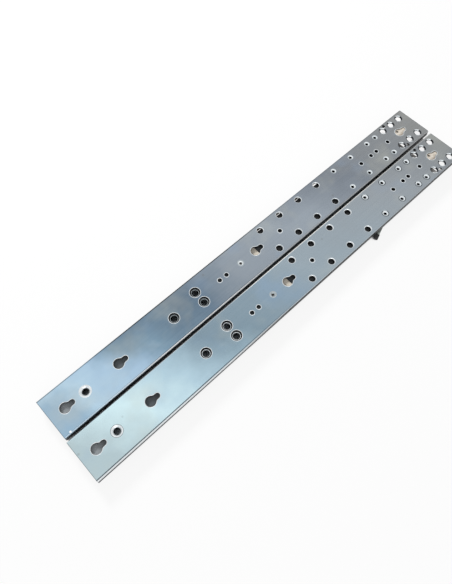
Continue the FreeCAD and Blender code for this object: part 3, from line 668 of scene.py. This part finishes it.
# Floor between the rails, from whose share of sky a loss is taken as painted shade, and floor under the
# rear holes, which stays white as painted light
GAP_X = (-0.267, 0.2665)
GAP_Y = (-0.012, 0.0)
GAP_PAINTED_SHADE = 0.35
REAR_LIGHT_X = (-0.29, -0.2384)
REAR_LIGHT_Y = ((-0.048, -0.0135), (0.001, 0.0372))

WORLD_LIGHT = 0.4
WORLD_WHITE = 1.0
LAMP_AIM = (0, 0, 0)
KEY_PLACE = (-0.1, -1.5, 0.9)
KEY_SIZE = 0.35
KEY_POWER = 32
FILL_PLACE = (0.9, 1.3, 1.0)
FILL_SIZE = 1.0
FILL_POWER = 5
SENSOR_WIDTH = 36.0
LENS = 31.8
CAMERA_PLACE = (0.2252, 0.14503, 0.4883)
CAMERA_TURN = (25.545, -1.342, 136.769)


def white_share(shader):
    """How white a spot of floor is seen: 1 in the open and, as painted light, under the rear holes; 0 close
    to the rails, with painted shade added between them.
    """
    spot = shader.along()
    sky = shader.node("ShaderNodeAmbientOcclusion", samples=SKY_SAMPLES)
    sky.inputs["Distance"].default_value = SKY_REACH
    # A strip between the rails loses sky as painted shade.
    strip = shader.math("MULTIPLY", shader.within(spot["Y"], *GAP_Y), shader.within(spot["X"], *GAP_X))
    gap_shade = shader.math("MULTIPLY", strip, GAP_PAINTED_SHADE)
    open_share = shader.ramp(shader.math("SUBTRACT", sky.outputs["AO"], gap_shade), *SKY_SPAN)
    # Floor under the rear holes is kept white as painted light.
    left, right = [shader.within(spot["Y"], *limits) for limits in REAR_LIGHT_Y]
    rear = shader.math("MULTIPLY", shader.within(spot["X"], *REAR_LIGHT_X), shader.math("MAXIMUM", left, right))
    return shader.math("MAXIMUM", open_share, rear)


def plain_floor():
    """Pale floor that the camera sees as white paper with the object's shadow."""
    mesh = bpy.data.meshes.new("floor")
    corners = [(x * FLOOR_HALF, y * FLOOR_HALF, FLOOR_Z) for x, y in ((-1, -1), (1, -1), (1, 1), (-1, 1))]
    mesh.from_pydata(corners, [], [(0, 1, 2, 3)])
    floor = bpy.data.objects.new("floor", mesh)
    scene.collection.objects.link(floor)
    shader = Shader("pale_floor")
    shader.set(Base_Color=(FLOOR_GREY, FLOOR_GREY, FLOOR_GREY, 1), Roughness=FLOOR_ROUGHNESS)
    path = shader.node("ShaderNodeLightPath").outputs
    seen = shader.math("MAXIMUM", path["Is Camera Ray"], path["Is Glossy Ray"])
    seen = shader.math("MAXIMUM", seen, path["Is Transmission Ray"])
    seen = shader.math("MULTIPLY", seen, white_share(shader))
    glow = shader.node("ShaderNodeEmission")
    blend = shader.node("ShaderNodeMixShader")
    shader.link(shader.math("MULTIPLY", seen, FLOOR_GLOW), blend.inputs["Fac"])
    shader.link(shader.surface.outputs["BSDF"], blend.inputs[1])
    shader.link(glow.outputs["Emission"], blend.inputs[2])
    shader.link(blend.outputs["Shader"], shader.tree.nodes["Material Output"].inputs["Surface"])
    mesh.materials.append(shader.material)


def white_world():
    """World that is white where it is seen, mirrored or seen through, and lights the object less."""
    world = bpy.data.worlds.new("studio")
    scene.world = world
    world.use_nodes = True
    tree = world.node_tree
    ground = tree.nodes["Background"]
    ground.inputs["Color"].default_value = (1, 1, 1, 1)
    path = tree.nodes.new("ShaderNodeLightPath").outputs
    strength = path["Is Camera Ray"]
    for ray in ("Is Glossy Ray", "Is Transmission Ray"):
        most = tree.nodes.new("ShaderNodeMath")
        most.operation = "MAXIMUM"
        tree.links.new(strength, most.inputs[0])
        tree.links.new(path[ray], most.inputs[1])
        strength = most.outputs["Value"]
    level = tree.nodes.new("ShaderNodeMapRange")
    level.inputs["To Min"].default_value = WORLD_LIGHT
    level.inputs["To Max"].default_value = WORLD_WHITE
    tree.links.new(strength, level.inputs["Value"])
    tree.links.new(level.outputs["Result"], ground.inputs["Strength"])


def soft_light(name, place, size, power, mirrored=True):
    data = bpy.data.lights.new(name, "AREA")
    data.size = size
    data.energy = power
    lamp = bpy.data.objects.new(name, data)
    scene.collection.objects.link(lamp)
    lamp.visible_glossy = mirrored
    lamp.location = place
    lamp.rotation_euler = (Vector(LAMP_AIM) - Vector(place)).to_track_quat("-Z", "Y").to_euler()


def photo_camera():
    data = bpy.data.cameras.new("camera")
    data.sensor_width = SENSOR_WIDTH
    data.lens = LENS
    camera = bpy.data.objects.new("camera", data)
    scene.collection.objects.link(camera)
    camera.location = CAMERA_PLACE
    camera.rotation_euler = tuple(math.radians(angle) for angle in CAMERA_TURN)
    scene.camera = camera


plain_floor()
white_world()
soft_light("key", KEY_PLACE, KEY_SIZE, KEY_POWER, mirrored=False)
soft_light("fill", FILL_PLACE, FILL_SIZE, FILL_POWER)
photo_camera()
